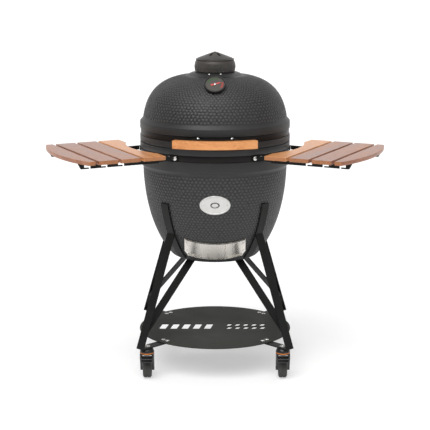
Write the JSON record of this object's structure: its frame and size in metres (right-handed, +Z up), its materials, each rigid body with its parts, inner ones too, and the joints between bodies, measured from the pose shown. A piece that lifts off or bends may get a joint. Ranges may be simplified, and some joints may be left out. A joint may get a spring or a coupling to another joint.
{
  "type": "kamado ceramic grill",
  "caption": "Egg-shaped ceramic charcoal grill with hinged lid, vent cap, thermometer, sliding draught door, folding wooden side tables and a wheeled trolley.",
  "frame": {"origin": "centre of the object's footprint box on the ground; the egg's axis stands 65.1 mm behind it", "axes": "+Z up, the front of the grill faces -Y, +X to its right as seen from the front"},
  "size_m": [1.2552, 0.7855, 1.185],
  "materials": {
    "ceramic": "matte dark grey glaze with a raised pebble texture",
    "fire_clay": "unglazed refractory clay",
    "band_steel": "dark brown-black baked enamel, satin",
    "black_steel": "black powder coat, satin",
    "shelf_grey": "dark grey-green powder coat, matte",
    "stainless": "brushed",
    "cast_aluminium": "cast, satin",
    "cast_iron": "seasoned, fine sand-cast grain",
    "oiled_wood": "oiled reddish hardwood",
    "felt": "pressed felt",
    "gloss_black": "gloss black",
    "grey_rubber": "dark grey tread",
    "needle_red": "red enamel"
  },
  "bodies": {
    "frame": {"base_shell": "ceramic", "base_band": "band_steel", "firebox": "fire_clay", "fire_ring": "fire_clay", "charcoal_grate": "cast_iron", "draft_frame": "stainless", "emblem_plate": "cast_aluminium", "under_ring": "black_steel", "lower_shelf": "shelf_grey", "hinge_base": "black_steel", "leg_front_left": "black_steel", "leg_front_right": "black_steel", "leg_rear_left": "black_steel", "leg_rear_right": "black_steel", "cradle_arm_front_left": "black_steel", "cradle_arm_front_right": "black_steel", "cradle_arm_rear_left": "black_steel", "cradle_arm_rear_right": "black_steel", "strut_front_left": "black_steel", "strut_front_right": "black_steel", "strut_rear_left": "black_steel", "strut_rear_right": "black_steel", "table_lug_left_front": "black_steel", "table_lug_left_rear": "black_steel", "table_lug_right_front": "black_steel", "table_lug_right_rear": "black_steel"},
    "lid": {"lid_shell": "ceramic", "lid_band": "band_steel", "lid_gasket": "felt", "handle_bar": "oiled_wood", "handle_bracket": "black_steel", "thermometer_case": "black_steel", "cap_collar": "cast_iron", "hinge_lid": "black_steel"},
    "cap": {"cap_roof": "cast_iron"},
    "needle": {"thermometer_needle": "needle_red"},
    "door": {"draft_door": "stainless"},
    "grate": {"cooking_grate": "stainless"},
    "table_left": {"slat_left_1": "oiled_wood", "slat_left_2": "oiled_wood", "slat_left_3": "oiled_wood", "slat_left_4": "oiled_wood", "table_bracket_left_front": "black_steel", "table_bracket_left_rear": "black_steel"},
    "table_right": {"slat_right_1": "oiled_wood", "slat_right_2": "oiled_wood", "slat_right_3": "oiled_wood", "slat_right_4": "oiled_wood", "table_bracket_right_front": "black_steel", "table_bracket_right_rear": "black_steel"},
    "caster_front_left": {"caster_fork_front_left": "gloss_black"},
    "wheel_front_left": {"caster_wheel_front_left": "grey_rubber"},
    "brake_front_left": {"brake_lever_front_left": "gloss_black"},
    "caster_front_right": {"caster_fork_front_right": "gloss_black"},
    "wheel_front_right": {"caster_wheel_front_right": "grey_rubber"},
    "brake_front_right": {"brake_lever_front_right": "gloss_black"},
    "caster_rear_left": {"caster_fork_rear_left": "gloss_black"},
    "wheel_rear_left": {"caster_wheel_rear_left": "grey_rubber"},
    "caster_rear_right": {"caster_fork_rear_right": "gloss_black"},
    "wheel_rear_right": {"caster_wheel_rear_right": "grey_rubber"}
  },
  "joints": [
    {"name": "lid_hinge", "type": "hinge", "parent": "frame", "child": "lid", "pos_m": [0, 0.38306, 0.858], "axis": [-1, 0, 0], "range_deg": [0, 75]},
    {"name": "cap_turn", "type": "hinge", "parent": "lid", "child": "cap", "pos_m": [0, 0.06506, 1.155], "axis": [0, 0, 1], "range_deg": [0, 30]},
    {"name": "needle_turn", "type": "hinge", "parent": "lid", "child": "needle", "pos_m": [0, -0.12847, 1.07832], "axis": [0, -0.6428, 0.766], "range_deg": [-60, 200]},
    {"name": "draft_slide", "type": "hinge", "parent": "frame", "child": "door", "pos_m": [0, 0.06506, 0.59035], "axis": [0, -0.5206, 0.8538], "range_deg": [0, 16]},
    {"name": "grate_lift", "type": "slide", "parent": "frame", "child": "grate", "axis": [0, 0, 1], "range_m": [0, 0.12]},
    {"name": "table_left_fold", "type": "hinge", "parent": "frame", "child": "table_left", "pos_m": [-0.27468, -0.0698, 0.8208], "axis": [0.4407, -0.8976, 0], "range_deg": [0, 90]},
    {"name": "table_right_fold", "type": "hinge", "parent": "frame", "child": "table_right", "pos_m": [0.27468, -0.0698, 0.8208], "axis": [0.4407, 0.8976, 0], "range_deg": [0, 90]},
    {"name": "swivel_front_left", "type": "hinge", "parent": "frame", "child": "caster_front_left", "pos_m": [-0.25053, -0.18547, 0.0375], "axis": [0, 0, 1], "continuous": true},
    {"name": "roll_front_left", "type": "hinge", "parent": "caster_front_left", "child": "wheel_front_left", "pos_m": [-0.25053, -0.16747, 0.0375], "axis": [1, 0, 0], "continuous": true},
    {"name": "brake_front_left", "type": "hinge", "parent": "caster_front_left", "child": "brake_front_left", "pos_m": [-0.25053, -0.19947, 0.0882], "axis": [1, 0, 0], "range_deg": [0, 20]},
    {"name": "swivel_front_right", "type": "hinge", "parent": "frame", "child": "caster_front_right", "pos_m": [0.25053, -0.18547, 0.0375], "axis": [0, 0, 1], "continuous": true},
    {"name": "roll_front_right", "type": "hinge", "parent": "caster_front_right", "child": "wheel_front_right", "pos_m": [0.25053, -0.16747, 0.0375], "axis": [1, 0, 0], "continuous": true},
    {"name": "brake_front_right", "type": "hinge", "parent": "caster_front_right", "child": "brake_front_right", "pos_m": [0.25053, -0.19947, 0.0882], "axis": [1, 0, 0], "range_deg": [0, 20]},
    {"name": "swivel_rear_left", "type": "hinge", "parent": "frame", "child": "caster_rear_left", "pos_m": [-0.25053, 0.31559, 0.0375], "axis": [0, 0, 1], "continuous": true},
    {"name": "roll_rear_left", "type": "hinge", "parent": "caster_rear_left", "child": "wheel_rear_left", "pos_m": [-0.25053, 0.33359, 0.0375], "axis": [1, 0, 0], "continuous": true},
    {"name": "swivel_rear_right", "type": "hinge", "parent": "frame", "child": "caster_rear_right", "pos_m": [0.25053, 0.31559, 0.0375], "axis": [0, 0, 1], "continuous": true},
    {"name": "roll_rear_right", "type": "hinge", "parent": "caster_rear_right", "child": "wheel_rear_right", "pos_m": [0.25053, 0.33359, 0.0375], "axis": [1, 0, 0], "continuous": true}
  ]
}
